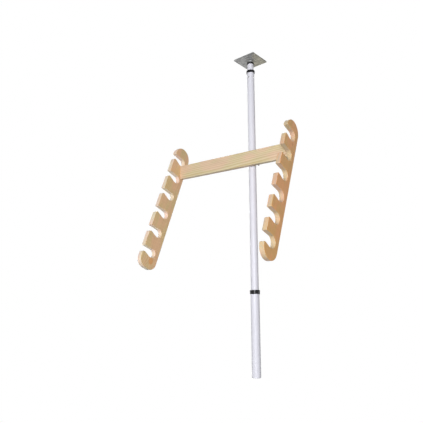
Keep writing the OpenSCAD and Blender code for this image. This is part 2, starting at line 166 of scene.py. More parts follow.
class RackSizes(bpy.types.PropertyGroup):
    """The uprights and the crossboard"""

    lean: angle("Lean", "Lean of the uprights, with their lower ends forward", 23)
    width: size("Upright width", "Width of an upright", 76)
    tip_head: size("Tip head", "Length of the tip-side upright above its first slot's lower wall", 71)
    butt_head: size("Butt head", "Length of the butt-side upright above its first slot's lower wall", 76)
    tip_toe: size("Tip toe", "Length of the tip-side upright below its last slot's lower wall", 41)
    butt_toe: size("Butt toe", "Length of the butt-side upright below its last slot's lower wall", 35)
    tip_toe_r: size("Tip toe corners", "Radius of the tip-side upright's two lower corners", 29)
    butt_toe_r: size("Butt toe corners", "Radius of the butt-side upright's two lower corners", 36)
    slots: IntProperty(name="Slots", description="Number of slots in an upright", default=6)
    pitch: size("Slot pitch", "Distance from one slot to the next", 77)
    tip_slot: size("Tip slot", "Width of the slots on the tip side", 30)
    butt_slot: size("Butt slot", "Width of the slots on the butt side", 40)
    depth: size("Slot depth", "Depth of the slots from the front edge", 58)
    tip_lip: size("Tip lip", "Height of the lip at the mouth of a tip-side slot", 7)
    butt_lip: size("Butt lip", "Height of the lip at the mouth of a butt-side slot", 3)
    lip_flat: size("Lip top", "Length of a lip's flat top, in from the front edge", 11)
    lip_end: size("Lip end", "From the end of a lip's ramp to the round seat", 8)
    mouth_drop: size("Mouth drop", "How much lower the upper wall is at a slot's mouth", 3)
    tip_finger: size("Tip finger", "Radius of the upper corner of a tip-side finger", 8)
    butt_finger: size("Butt finger", "Radius of the upper corner of a butt-side finger", 4)
    finger_low: size("Finger bottom", "Radius of the lower corner of a finger", 2)
    seat: size("Board seat", "From the first slot's lower wall to the board's lower back edge", 42)
    margin: size("Board margin", "From an upright's back edge to the board's lower back edge", 0.8)
    ease: size("Wood edge", "Rounding of the wood's edges", 1.3)
    plug: size("Wooden plug", "Diameter of the plugs over the joint screws", 10)
    plug_depth: size("Plug depth", "Depth of the wooden plugs", 4)
    screw_spread: size("Joint screws", "From the board's middle to a joint screw", 14)


class ClampSizes(bpy.types.PropertyGroup):
    """The bush, strap, screws, nut, knob and stud"""

    bush_wall: size("Bush wall", "Wall of the split bush", 3.45)
    flange_t: size("Bush flange", "Thickness of the bush's flanges", 2)
    slit: size("Slit", "Width of the slit in the bush", 2)
    strap_t: size("Strap", "Thickness of the steel strap", 2)
    bend: size("Strap bend", "Inner radius of the bends at the strap's feet", 2)
    land: size("Strap land", "Width of the flat land for the nut", 12)
    screw_x: size("Strap screw across", "From the pole's axis to a strap screw", 30)
    screw_z: size("Strap screw up", "From the clamp's middle to a strap screw", 9)
    screw_d: size("Strap screw", "Shank diameter of a strap screw", 3.8)
    screw_len: size("Strap screw length", "Length of a strap screw under its head", 13)
    stud: size("Stud", "Diameter of the clamp's stud", 6)
    thread: size("Thread", "Pitch of the stud's thread", 1)
    lobes: IntProperty(name="Knob lobes", description="Number of the knob's lobes", default=5)
    lobe_at: size("Lobe circle", "Radius of the circle that the lobes lie on", 9)
    lobe_r: size("Lobe radius", "Radius of one lobe", 4.6)


class Colours(bpy.types.PropertyGroup):
    """The colours of the finishes"""

    tip_wood: colour("Tip upright", "Early wood of the tip-side upright", (0.84, 0.61, 0.36))
    tip_late: colour("Tip upright's late wood", "Late wood of the tip-side upright", (0.62, 0.38, 0.19))
    butt_wood: colour("Butt upright", "Early wood of the butt-side upright", (0.87, 0.48, 0.185))
    butt_late: colour("Butt upright's late wood", "Late wood of the butt-side upright", (0.60, 0.27, 0.08))
    # Painted light: the two edge colours below are greyer copies of the wood. They stand in for the
    # stronger light that falls on the front edges and slot walls.
    tip_edge_painted_light: colour("Tip upright's edges", "Sanded edges of the tip-side upright", (0.82, 0.70, 0.59))
    butt_edge_painted_light: colour("Butt upright's edges", "Sanded edges of the butt-side upright", (0.62, 0.49, 0.36))
    board: colour("Board", "Early wood of the crossboard", (0.70, 0.58, 0.42))
    board_late: colour("Board's late wood", "Late wood of the crossboard", (0.52, 0.38, 0.19))
    enamel: colour("Enamel", "Baked enamel on the tubes", (0.745, 0.74, 0.79))
    zinc: colour("Galvanised steel", "Spangled zinc on the ceiling plate", (0.38, 0.38, 0.375))
    steel: colour("Plated steel", "Bright plating on strap, nut and screws", (0.55, 0.56, 0.58))
    black: colour("Black plastic", "Moulded plastic of collars, plug and knob", (0.007, 0.007, 0.008))
    foot: colour("Foot", "Off-white moulding in the pole's lower end", (0.72, 0.71, 0.71))
    nylon: colour("Nylon", "Natural nylon inside the pole", (0.72, 0.71, 0.64))


class StageSizes(bpy.types.PropertyGroup):
    """The floor and the camera"""

    floor: size("Floor", "Distance of the floor below the ceiling", 1430)
    azimuth: angle("Azimuth", "Turn of the camera round the object", 36.58)
    pitch: angle("Pitch", "How far the camera looks up", 10.63)
    roll: angle("Roll", "Roll of the camera", -0.14)
    lens: FloatProperty(name="Lens", description="Focal length in millimetres", default=38.257, min=1)
    camera: FloatVectorProperty(
        name="Camera", description="Place of the camera", default=(0.7720, -1.2761, -0.8290), subtype="XYZ"
    )


# Modelling, as by hand


def deselect():
    """Leaves edit mode and deselects everything."""
    if bpy.context.object and bpy.context.object.mode != "OBJECT":
        bpy.ops.object.mode_set(mode="OBJECT")
    bpy.ops.object.select_all(action="DESELECT")


def take(piece):
    """Makes a piece the only selected one, and the active one."""
    deselect()
    bpy.context.view_layer.objects.active = piece
    piece.select_set(True)


def named(name):
    """Names the primitive that was just added."""
    piece = bpy.context.object
    piece.name = piece.data.name = name
    return piece


def settle(piece, location=(0, 0, 0), rotation=(0, 0, 0)):
    """Turns and moves a piece, and puts its place into its mesh."""
    take(piece)
    piece.matrix_basis = Matrix.LocRotScale(Vector(location), Euler(rotation), None) @ piece.matrix_basis
    bpy.ops.object.transform_apply()
    return piece


def block(name, low, high):
    """A cube stretched between two corners."""
    deselect()
    low, high = Vector(low), Vector(high)
    bpy.ops.mesh.primitive_cube_add(size=1, location=(low + high) / 2, scale=high - low)
    piece = named(name)
    bpy.ops.object.transform_apply()
    return piece


def bar(name, radius, low, high, centre=(0, 0), sides=48):
    """A round bar along Z, from height low to height high."""
    deselect()
    bpy.ops.mesh.primitive_cylinder_add(
        vertices=sides, radius=radius, depth=high - low, location=(*centre, (low + high) / 2)
    )
    piece = named(name)
    bpy.ops.object.transform_apply()
    return piece


def choose(piece, kind, test):
    """Opens a piece in edit mode with the faces or edges that pass a test selected."""
    take(piece)
    bpy.ops.object.mode_set(mode="EDIT")
    bpy.ops.mesh.select_mode(type=kind)
    bpy.ops.mesh.select_all(action="DESELECT")
    mesh = bmesh.from_edit_mesh(piece.data)
    for part in mesh.faces if kind == "FACE" else mesh.edges:
        part.select_set(bool(test(part)))
    bmesh.update_edit_mesh(piece.data)


def bevel(piece, test, offset, segments):
    """Rounds the edges of a piece that pass a test."""
    choose(piece, "EDGE", test)
    bpy.ops.mesh.bevel(offset=offset, segments=segments, affect="EDGES")


def mend(weld=0, outwards=True):
    """Merges the points of the mesh in edit mode that lie within weld, and turns its faces outwards."""
    bpy.ops.mesh.select_all(action="SELECT")
    if weld:
        bpy.ops.mesh.remove_doubles(threshold=weld)
    if outwards:
        bpy.ops.mesh.normals_make_consistent(inside=False)


def along(edge, axis):
    """Whether an edge runs along an axis."""
    run = edge.verts[1].co - edge.verts[0].co
    return abs(run.normalized().dot(axis)) > 0.999


def apply(piece, kind, **settings):
    """Adds a modifier to a piece, with its settings, and applies it."""
    take(piece)
    modifier = piece.modifiers.new(kind.title(), kind)
    for key, value in settings.items():
        setattr(modifier, key, value)
    bpy.ops.object.modifier_apply(modifier=modifier.name)
    return piece


def combine(piece, tool, operation="DIFFERENCE"):
    """Cuts a tool out of a piece, adds it, or keeps what both share, and deletes the tool."""
    apply(piece, "BOOLEAN", object=tool, operation=operation, solver="EXACT")
    bpy.data.objects.remove(tool)
    return piece


def ease(piece, width, segments=3, least=50):
    """Rounds every edge of a piece that turns by more than the least angle."""
    return apply(
        piece, "BEVEL", width=width, segments=segments, limit_method="ANGLE",
        angle_limit=math.radians(least), use_clamp_overlap=False,
    )


def rounded(corners, steps=4):
    """An outline's points. Its corners are (x, y), or (x, y, radius) where they are rounded."""
    points = []
    for i, corner in enumerate(corners):
        here = Vector(corner[:2])
        radius = corner[2] if len(corner) > 2 else 0
        if not radius:
            points.append(here)
            continue
        back = Vector(corners[i - 1][:2]) - here
        ahead = Vector(corners[(i + 1) % len(corners)][:2]) - here
        half = back.angle(ahead) / 2
        radius = min(radius, 0.49 * min(back.length, ahead.length) * math.tan(half))
        reach = radius / math.tan(half)
        centre = here + (back.normalized() + ahead.normalized()).normalized() * radius / math.sin(half)
        first = here + back.normalized() * reach - centre
        last = here + ahead.normalized() * reach - centre
        points += [centre + first.slerp(last, step / steps) * radius for step in range(steps + 1)]
    return points


def arc(centre, radius, first, last, steps):
    """Points on an arc, with its first and last angle in degrees."""
    turns = [math.radians(first + (last - first) * i / steps) for i in range(steps + 1)]
    return [(centre[0] + radius * math.cos(a), centre[1] + radius * math.sin(a)) for a in turns]


def traced(name, points, closed=True):
    """Draws a chain of edges from point to point, and leaves it selected in edit mode."""
    deselect()
    bpy.ops.mesh.primitive_plane_add(size=MM, location=points[0])
    piece = named(name)
    bpy.ops.object.mode_set(mode="EDIT")
    bpy.ops.mesh.select_mode(type="VERT")
    bpy.ops.mesh.select_all(action="SELECT")
    bpy.ops.mesh.merge(type="CENTER")
    ends = points[1:] + points[:1] if closed else points[1:]
    for here, there in zip(points, ends):
        step = Vector(there) - Vector(here)
        bpy.ops.mesh.extrude_vertices_move(TRANSFORM_OT_translate={"value": step})
    mend(weld=0.001 * MM, outwards=False)
    return piece


def turned(name, corners, sides=96, steps=4):
    """A turned piece: its section, given as radius and height, is spun round Z."""
    points = [(p[0], 0, p[1]) for p in rounded(corners, steps)]
    solid = points[0][0] == 0 and points[-1][0] == 0
    piece = traced(name, points, closed=not solid)
    bpy.ops.mesh.spin(steps=sides, angle=math.tau, center=(0, 0, 0), axis=(0, 0, 1))
    mend(weld=0.002 * MM)
    return settle(piece)


def drawn(name, outline, depth):
    """A flat outline drawn in the XY plane, filled and pulled up along Z by depth."""
    piece = traced(name, [(p[0], p[1], 0) for p in outline])
    bpy.ops.mesh.edge_face_add()
    bpy.ops.mesh.extrude_region_move(TRANSFORM_OT_translate={"value": (0, 0, depth)})
    mend()
    return settle(piece)


def repeated(piece, places):
    """Copies a piece, each time with its own mesh, to each place, and joins the copies."""
    name = piece.name
    copies = []
    for place in places:
        take(piece)
        bpy.ops.object.duplicate()
        copy = bpy.context.object
        copy.matrix_world = place
        bpy.ops.object.transform_apply()
        copies.append(copy)
    bpy.data.objects.remove(piece)
    deselect()
    for copy in copies:
        copy.select_set(True)
    bpy.context.view_layer.objects.active = copies[0]
    bpy.ops.object.join()
    return named(name)


def stands_for(piece, node, finish, crease=35):
    """Smooths and paints a piece, and lets it stand for a CAD node and ride on the node's body."""
    take(piece)
    bpy.ops.object.shade_smooth_by_angle(angle=math.radians(crease))
    apply(piece, "WEIGHTED_NORMAL", keep_sharp=True, weight=60)
    piece.data.materials.clear()
    piece.data.materials.append(finish)
    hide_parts(node)
    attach(piece, BODY[node])
    return piece


# Finishes


class Amount:
    """A socket whose number varies over a surface. Sums of amounts add Math nodes."""

    def __init__(self, nodes, socket):
        self.nodes = nodes
        self.socket = socket

    def output(self, name):
        """Another output of the same node."""
        return Amount(self.nodes, self.socket.node.outputs[name])

    def sum(self, operation, first, second=0.0):
        return self.nodes.add("ShaderNodeMath", {"operation": operation}, {0: first, 1: second})

    def __add__(self, other):
        return self.sum("ADD", self, other)

    def __radd__(self, other):
        return self.sum("ADD", other, self)

    def __sub__(self, other):
        return self.sum("SUBTRACT", self, other)

    def __rsub__(self, other):
        return self.sum("SUBTRACT", other, self)

    def __mul__(self, other):
        return self.sum("MULTIPLY", self, other)

    def __rmul__(self, other):
        return self.sum("MULTIPLY", other, self)

    def __truediv__(self, other):
        return self.sum("DIVIDE", self, other)

    def __pow__(self, other):
        return self.sum("POWER", self, other)

    def __abs__(self):
        return self.sum("ABSOLUTE", self)

    def part(self):
        """What is left of the amount after its whole number."""
        return self.sum("FRACT", self)

    def most(self, other):
        return self.sum("MAXIMUM", self, other)


class Nodes:
    """A node tree in the making."""

    def __init__(self, tree):
        self.tree = tree

    def add(self, kind, settings=None, values=None, output=0):
        """Adds a node. Its settings are set first, then the values or links of its sockets."""
        node = self.tree.nodes.new(kind)
        for key, value in (settings or {}).items():
            setattr(node, key, value)
        for key, value in (values or {}).items():
            if isinstance(value, Amount):
                self.tree.links.new(value.socket, node.inputs[key])
            else:
                node.inputs[key].default_value = value
        return Amount(self, node.outputs[output])

    def place(self, stretch=(1, 1, 1), turn=(0, 0, 0), shift=(0, 0, 0)):
        """The point on the object, in metres, turned, stretched and shifted."""
        point = self.add("ShaderNodeTexCoord").output("Object")
        if any(turn):
            point = self.add("ShaderNodeMapping", None, {"Vector": point, "Rotation": turn})
        return self.add("ShaderNodeMapping", None, {"Vector": point, "Scale": stretch, "Location": shift})

    def parts(self, vector):
        """The three parts of a vector."""
        split = self.add("ShaderNodeSeparateXYZ", None, {"Vector": vector})
        return [split.output(axis) for axis in "XYZ"]

    def noise(self, vector, scale=1.0, detail=2.0, rough=0.5):
        """Cloudy noise from 0 to 1."""
        values = {"Vector": vector, "Scale": scale, "Detail": detail, "Roughness": rough}
        return self.add("ShaderNodeTexNoise", None, values)

    def cells(self, vector, scale, stray):
        """Cells that stray from a grid by a share: how far off the middle of each a point lies."""
        values = {"Vector": vector, "Scale": scale, "Randomness": stray}
        return self.add("ShaderNodeTexVoronoi", None, values)

    def step(self, amount, low, high, first=0.0, last=1.0):
        """A smooth step: first below low, last above high."""
        values = {"Value": amount, "From Min": low, "From Max": high, "To Min": first, "To Max": last}
        return self.add("ShaderNodeMapRange", {"interpolation_type": "SMOOTHSTEP"}, values)

    def mix(self, share, first, second, blend="MIX"):
        """Two colours mixed by a share of the second."""
        settings = {"data_type": "RGBA", "blend_type": blend}
        pair = [c if isinstance(c, Amount) else (*c, 1) for c in (first, second)]
        return self.add("ShaderNodeMix", settings, {0: share, 6: pair[0], 7: pair[1]}, output=2)

    def dim(self, colour, amount):
        """A colour multiplied by an amount."""
        grey = self.add("ShaderNodeCombineColor", None, {"Red": amount, "Green": amount, "Blue": amount})
        return self.mix(1.0, colour, grey, "MULTIPLY")

    def bump(self, height, distance, strength=1.0, under=None):
        """A normal that follows a height from 0 to 1, over a real distance in metres."""
        values = {"Height": height, "Distance": distance, "Strength": strength}
        if under:
            values["Normal"] = under
        return self.add("ShaderNodeBump", None, values)


class Finish(Nodes):
    """A material in the making, with its Principled shader."""

    def __init__(self, name):
        self.material = bpy.data.materials.new(name)
        self.material.use_nodes = True
        super().__init__(self.material.node_tree)

    def set(self, **values):
        """Sets or links the shader's sockets, named in small letters."""
        shader = self.tree.nodes["Principled BSDF"]
        for key, value in values.items():
            name = "Specular IOR Level" if key == "specular" else key.replace("_", " ").title()
            if isinstance(value, Amount):
                self.tree.links.new(value.socket, shader.inputs[name])
            else:
                shader.inputs[name].default_value = (*value, 1) if name == "Base Color" else value
        return self.material


# How far across and up the grain the knot of each upright lies, and its radius, in metres
TIP_KNOT = (0.113, -0.727, 0.0120)
BUTT_KNOT = (0.150, -0.420, 0.0052)


def pine(name, early, late, cut, turn, pith, rise, knot, seed):
    """Varnished pine. After the turn its grain runs along Z. The year rings circle the pith,
    which climbs by rise, so that broad faces show long arches. A knot is (across, up, radius)."""
    wood = Finish(name)
    year, sway, tremble = 0.0046, 0.012, 0.0012  # width of a year ring, and how far it strays
    across, side, up = wood.parts(wood.place(turn=turn))
    wander = wood.noise(wood.place((13, 13, 1.7), turn, (seed, 0, 0)), detail=3) - 0.5
    ripple = wood.noise(wood.place((70, 70, 6), turn, (0, seed, 0)), detail=2) - 0.5
    radius = ((across - pith[0]) ** 2 + (side - pith[1]) ** 2) ** 0.5
    radius = radius + up * rise + wander * sway + ripple * tremble
    if knot:
        knot_side, knot_up, knot_r = knot
        gap = (((side - knot_side) ** 2 + ((up - knot_up) * 0.75) ** 2) ** 0.5) / knot_r
        radius = radius + wood.step(gap, 0.3, 3.2, 1.1 * knot_r, 0)
        core = wood.step(gap + wander * 0.5, 0.55, 1.05, 1, 0)
    ring = (radius / year).part()
    band = wood.step(ring, 0.15, 0.86) * wood.step(ring, 0.90, 0.99, 1, 0)
    fibre = wood.noise(wood.place((620, 620, 11), turn, (0, 0, seed)), detail=4, rough=0.6)
    pores = wood.noise(wood.place((1500, 1500, 40), turn, (seed, seed, 0)), detail=1)
    patch = wood.noise(wood.place((30, 30, 12), turn, (seed, seed, seed)), detail=2)
    tint = wood.mix(wood.step(patch, 0.38, 0.62), (1.05, 0.94, 0.93), (0.97, 1.01, 0.89))
    shade = wood.mix(band * wood.step(patch, 0.2, 0.8, 0.45, 0.80), early, late)
    # Painted light: faces that do not face along X, the edges and slot walls, take the paler edge colour
    # in place of the stronger light they catch.
    if cut:
        facing = wood.parts(wood.add("ShaderNodeTexCoord").output("Normal"))[0]
        edge = wood.step(abs(facing), 0.35, 0.8, 1, 0)
        shade = wood.mix(edge, shade, wood.mix(band * 0.35, cut, early))
    shade = wood.mix(1.0, shade, tint, "MULTIPLY")
    shade = wood.dim(shade, wood.step(fibre, 0.25, 0.75, 0.90, 1.06))
    shade = wood.mix(wood.step(pores, 0.62, 0.74) * 0.30, shade, late)
    if knot:
        heart = wood.mix(band * 0.6, (0.86, 0.44, 0.16), (0.50, 0.20, 0.07))
        shade = wood.mix(core * 0.85, shade, heart)
    grain = wood.bump(fibre, 0.00012, 0.35)
    return wood.set(
        base_color=shade,
        roughness=wood.step(fibre, 0.2, 0.8, 0.50, 0.38) - band * 0.05,
        normal=wood.bump(band, 0.00008, 0.5, grain),
        specular=0.3,
        coat_weight=0.08,
        coat_roughness=0.3,
    )


def enamel(name, colour):
    """Baked enamel on steel tube, with a faint orange peel and fine rub marks along it."""
    paint = Finish(name)
    point = paint.place()
    peel = paint.noise(point, scale=420, detail=2)
    cloud = paint.noise(point, scale=9, detail=3)
    rubs = paint.step(paint.noise(paint.place((520, 520, 9)), detail=3), 0.60, 0.72)
    rubs = rubs * paint.step(paint.noise(point, scale=14), 0.48, 0.62)
    tone = paint.mix(cloud, colour, times(colour, 0.95))
    return paint.set(
        base_color=paint.mix(rubs * 0.35, tone, times(colour, 0.72)),
        roughness=paint.step(cloud, 0.3, 0.7, 0.34, 0.42) + rubs * 0.2,
        normal=paint.bump(peel, 0.00006, 0.25),
        specular=0.3,
    )


def galvanised(name, colour, half, boss):
    """Hot-dipped zinc on a plate: spangles of different greys, warmer towards one corner, with dull
    patches, a darker rim within half its side, and painted shade: a darker ring round a boss of that
    radius, where the boss meets the plate."""
    zinc = Finish(name)
    point = zinc.place()
    spangle = zinc.cells(point, 150.0, 1.0).output("Color")
    grey = zinc.add("ShaderNodeSeparateColor", None, {"Color": spangle}).output("Red")
    fine = zinc.noise(point, scale=900, detail=3)
    stain = zinc.noise(point, scale=32, detail=4, rough=0.6)
    streak = zinc.noise(zinc.place((60, 700, 60)), detail=2)
    east, north, _ = zinc.parts(point)
    cloud = zinc.noise(zinc.place(shift=(0.4, 0, 0)), scale=30) - 0.5
    drift = zinc.step(east * 0.8 + north * 0.6 + cloud * 0.05, -0.004, 0.020)
    tone = zinc.mix(drift, times(colour, (0.99, 1.0, 0.98)), times(colour, (1.08, 1.03, 0.83)))
    tone = zinc.dim(tone, grey * 0.62 + fine * 0.14 + stain * 0.40 + 0.42)
    rim = zinc.step(abs(east).most(abs(north)), half - 3 * MM, half) * 0.5
    # Painted shade: the plate darkens in a ring just round the boss, where the boss meets it.
    ring = zinc.step((east**2 + north**2) ** 0.5, boss + 0.5 * MM, boss + 2.5 * MM, 0.3, 0)
    return zinc.set(
        base_color=zinc.mix(rim.most(ring), tone, times(colour, 0.35)),
        metallic=zinc.step(stain, 0.45, 0.75, 0.60, 0.35),
        roughness=grey * 0.12 + stain * 0.2 + 0.36 + streak * 0.06,
        normal=zinc.bump(fine * 0.4 + stain, 0.0001, 0.35),
    )


def plated(name, colour, stretch=(60, 60, 900)):
    """Bright plating over rolled or turned steel, whose fine lines a stretch sets."""
    steel = Finish(name)
    lines = steel.noise(steel.place(stretch), detail=3)
    haze = steel.noise(steel.place(), scale=60, detail=3)
    tone = steel.mix(haze, times(colour, 0.92), times(colour, (1.06, 1.02, 0.95)))
    return steel.set(
        base_color=steel.dim(tone, lines * 0.3 + 0.84),
        metallic=1.0,
        roughness=haze * 0.2 + lines * 0.12 + 0.2,
        normal=steel.bump(lines, 0.00003, 0.3),
    )


def moulded(name, colour, rough, grain, depth, gloss=0.5):
    """Moulded plastic: a spark-eroded grain of a given size, with a little dust and handling."""
    plastic = Finish(name)
    point = plastic.place()
    spark = plastic.noise(point, scale=1 / grain, detail=3)
    cloud = plastic.noise(point, scale=55, detail=3)
    dust = plastic.step(plastic.noise(point, scale=240, detail=2), 0.55, 0.8)
    pale = tuple(min(1.0, 1.25 * c + 0.012) for c in colour)
    return plastic.set(
        base_color=plastic.mix(cloud * 0.5 + dust * 0.3, colour, pale),
        roughness=plastic.step(cloud, 0.3, 0.7, rough - 0.05, rough + 0.06) + dust * 0.08,
        normal=plastic.bump(spark, depth, 0.5),
        specular=gloss,
    )


def rubber(name):
    """Black rubber sheet with a pressed pattern of small studs."""
    sheet = Finish(name)
    point = sheet.place()
    studs = sheet.step(sheet.cells(point, 330.0, 0.0), 0.2, 0.6, 1, 0)
    grit = sheet.noise(point, scale=1500, detail=2)
    bloom = sheet.noise(point, scale=40, detail=4)
    return sheet.set(
        base_color=sheet.mix(bloom, (0.020, 0.020, 0.022), (0.050, 0.050, 0.052)),
        roughness=bloom * 0.15 + 0.72,
        normal=sheet.bump(studs + grit * 0.2, 0.0004, 0.6),
        specular=0.3,
    )


def dowel_wood(name):
    """End grain of the wooden plugs: fine rings and pores, a little redder than the uprights."""
    plug = Finish(name)
    point = plug.place()
    _, across, up = plug.parts(point)
    year = 0.0011
    ring = ((across * 0.8 + up * 0.6) / year + plug.noise(point, scale=160) * 2).part()
    pores = plug.step(plug.noise(point, scale=2600, detail=2), 0.55, 0.7)
    shade = plug.mix(plug.step(ring, 0.2, 0.95), (0.78, 0.40, 0.16), (0.60, 0.26, 0.09))
    return plug.set(
        base_color=plug.mix(pores * 0.6, shade, (0.34, 0.15, 0.06)),
        roughness=pores * 0.2 + 0.42,
        normal=plug.bump(1 - pores, 0.0001, 0.5),
        specular=0.3,
        coat_weight=0.08,
        coat_roughness=0.3,
    )


def finish(name):
    """The material of that name, made when a piece first asks for it."""
    if name in bpy.data.materials:
        return bpy.data.materials[name]
    scene = bpy.context.scene
    hues, head = scene.rack_colours, scene.head_sizes
    lean, level = (scene.rack_sizes.lean, 0, 0), (0, math.radians(90), 0)
    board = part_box("crossboard")[0]
    tip, butt = (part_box(node)[0].x for node in ("tip_upright", "butt_upright"))
    # Wood has its colours, then turn, pith, rise of the pith, knot and seed. Plastic has its
    # colour, roughness, the size and depth of its grain, and gloss.
    maker, *values = {
        "tip_pine": (
            pine, hues.tip_wood, hues.tip_late, hues.tip_edge_painted_light,
            lean, (tip - 0.024, 0.19), 0.030, TIP_KNOT, 3.1,
        ),
        "butt_pine": (
            pine, hues.butt_wood, hues.butt_late, hues.butt_edge_painted_light,
            lean, (butt - 0.021, 0.16), -0.026, BUTT_KNOT, 11.7,
        ),
        "planed_board": (
            pine, hues.board, hues.board_late, None,
            level, (board.z - 0.012, board.y + 0.040), 0.018, None, 5.3,
        ),
        "baked_enamel": (enamel, hues.enamel),
        "galvanised_zinc": (galvanised, hues.zinc, head.plate_side / 2, head.boss / 2),
        "bright_plating": (plated, hues.steel),
        "strap_plating": (plated, times(hues.steel, 0.9)),
        "spring_wire": (plated, (0.30, 0.30, 0.31), (900, 900, 60)),
        "gloss_black": (moulded, hues.black, 0.20, 0.0012, 0.00001, 0.2),
        "satin_black": (moulded, hues.black, 0.38, 0.0007, 0.00005, 0.25),
        "knob_black": (moulded, hues.black, 0.46, 0.0005, 0.00010),
        "dark_nylon": (moulded, (0.016, 0.016, 0.017), 0.42, 0.0009, 0.00005),
        "natural_nylon": (moulded, hues.nylon, 0.36, 0.0008, 0.00004),
        "foot_moulding": (moulded, hues.foot, 0.40, 0.0007, 0.00006),
        "rubber_sheet": (rubber,),
        "dowel_end_grain": (dowel_wood,),
    }[name]
    return maker(name, *values)


# Pieces


class RODRACK_OT_ceiling_plate(bpy.types.Operator):
    """Model the square steel plate with its four screw holes and its round boss"""

    bl_idname = "rodrack.ceiling_plate"
    bl_label = "Ceiling plate"

    def execute(self, context):
        sizes = context.scene.head_sizes
        low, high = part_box("ceiling_plate")
        half = sizes.plate_side / 2
        plate = block("steel_plate", (-half, -half, high.z - sizes.plate_t), (half, half, high.z))
        bevel(plate, lambda edge: along(edge, Z), sizes.corner, 8)
        combine(plate, bar("boss", sizes.boss / 2, low.z, high.z - OVER, sides=96), "UNION")
        for place in ((1, 0), (0, 1), (-1, 0), (0, -1)):
            centre = [c * sizes.hole_circle / 2 for c in place]
            combine(plate, bar("drill", sizes.hole / 2, low.z - OVER, high.z + OVER, centre))
        combine(plate, bar("drill", sizes.plug_bore / 2, low.z - OVER, high.z + OVER))
        settle(ease(plate, sizes.plate_ease), rotation=(0, 0, sizes.plate_turn))
        stands_for(plate, "ceiling_plate", finish("galvanised_zinc"))
        return {"FINISHED"}


class RODRACK_OT_head_plug(bpy.types.Operator):
    """Model the black plug whose rim shows under the boss"""

    bl_idname = "rodrack.head_plug"
    bl_label = "Head plug"

    def execute(self, context):
        sizes = context.scene.head_sizes
        low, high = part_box("head_plug")
        bore = sizes.plug_bore / 2
        under = high.z - sizes.plug_rim_h
        shank = radius_of("head_tube") - sizes.tube_wall - FIT
        section = [
            (bore, high.z), (high.x, high.z, 0.5 * MM), (high.x, under, 0.8 * MM), (shank, under),
            (shank, low.z, 0.6 * MM), (bore, low.z),
        ]
        stands_for(turned("plug_rim", section), "head_plug", finish("satin_black"))
        return {"FINISHED"}


class RODRACK_OT_tubes(bpy.types.Operator):
    """Model the three enamelled tubes and the ferrule under the twist collar"""

    bl_idname = "rodrack.tubes"
    bl_label = "Tubes"

    def execute(self, context):
        sizes = context.scene.head_sizes
        tubes = {"head_tube": "short_tube", "upper_tube": "long_tube", "lower_tube": "outer_tube"}
        for node, name in tubes.items():
            self.tube(name, node, radius_of(node) - sizes.tube_wall, sizes.tube_ease)
        self.tube("swaged_ring", "lock_ferrule", radius_of("lower_tube") + FIT, BROKEN)
        return {"FINISHED"}

    def tube(self, name, node, bore, edge):
        """One tube with eased ends, less so on the inside."""
        low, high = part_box(node)
        outside = [(high.x, low.z, edge), (high.x, high.z, edge)]
        inside = [(bore, high.z, edge / 2), (bore, low.z, edge / 2)]
        stands_for(turned(name, outside + inside), node, finish("baked_enamel"))


class RODRACK_OT_collars(bpy.types.Operator):
    """Model the plain top collar and the ribbed twist collar"""

    bl_idname = "rodrack.collars"
    bl_label = "Collars"

    def execute(self, context):
        sizes = context.scene.pole_sizes
        low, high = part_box("top_collar")
        thin, thick = radius_of("head_tube") + FIT, radius_of("upper_tube") + FIT
        under = high.z - sizes.collar_lip
        section = [
            (thin, high.z, BROKEN), (high.x, high.z, sizes.collar_ease * 1.4),
            (high.x, low.z, sizes.collar_ease * 0.6), (thick, low.z, 0.2 * MM),
            (thick, under), (thin, under),
        ]
        stands_for(turned("upper_collar", section), "top_collar", finish("gloss_black"))
        stands_for(self.twist_collar(sizes), "lock_collar", finish("gloss_black"))
        return {"FINISHED"}

    def twist_collar(self, sizes):
        """The collar is turned plain. Flutes are then pressed into its wall between two bands."""
        low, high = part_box("lock_collar")
        play, band, slope = 0.35 * MM, 1.2 * MM, 0.25 * MM
        thin, thick = radius_of("upper_tube") + play, radius_of("lock_ferrule") + FIT
        under = high.z - sizes.lock_lip
        section = [
            (thin, high.z, BROKEN), (high.x, high.z, sizes.collar_ease), (high.x, high.z - band),
            (high.x, low.z + band), (high.x, low.z, sizes.collar_ease), (thick, low.z, 0.2 * MM),
            (thick, under), (thin, under),
        ]
        collar = turned("twist_collar", section, sides=sizes.rib_count * 4)
        each = math.tau / sizes.rib_count

        def in_flute(face):
            middle = face.calc_center_median()
            level = abs(middle.z - (high.z + low.z) / 2) < 0.1 * (high.z - low.z)
            turn = math.atan2(middle.y, middle.x) % each
            return level and middle.xy.length > high.x - 0.2 * MM and turn < each / 2

        choose(collar, "FACE", in_flute)
        bpy.ops.mesh.inset(thickness=slope, depth=-sizes.rib_depth)
        return settle(collar)


class RODRACK_OT_stop_rivets(bpy.types.Operator):
    """Model one domed stop rivet and copy it round the upper tube"""

    bl_idname = "rodrack.stop_rivets"
    bl_label = "Stop rivets"

    def execute(self, context):
        sizes = context.scene.pole_sizes
        head, rise, shank = sizes.rivet_head / 2, sizes.rivet_rise, 2 * MM
        dimple, seat, tail = 0.55 * rise, -0.42 * MM, -1.45 * MM
        section = [(0, dimple), (0.7 * MM, dimple), (0.85 * MM, 0.97 * rise, 0.1 * MM)]
        for slope in (0.45, 0.7, 0.95, 1.2, 1.4, math.pi / 2):
            section.append((head * math.sin(slope), rise * math.cos(slope)))
        section += [(head, seat), (shank, seat), (shank, tail), (0, tail)]
        rivet = turned("rivet_heads", section, sides=40)
        places = [
            Matrix.Rotation(math.tau * i / sizes.rivet_count, 4, "Z")
            @ Matrix.Translation((radius_of("upper_tube"), 0, middle_of("stop_rivets").z))
            @ Matrix.Rotation(math.radians(90), 4, "Y")
            for i in range(sizes.rivet_count)
        ]
        stands_for(repeated(rivet, places), "stop_rivets", finish("bright_plating"))
        return {"FINISHED"}


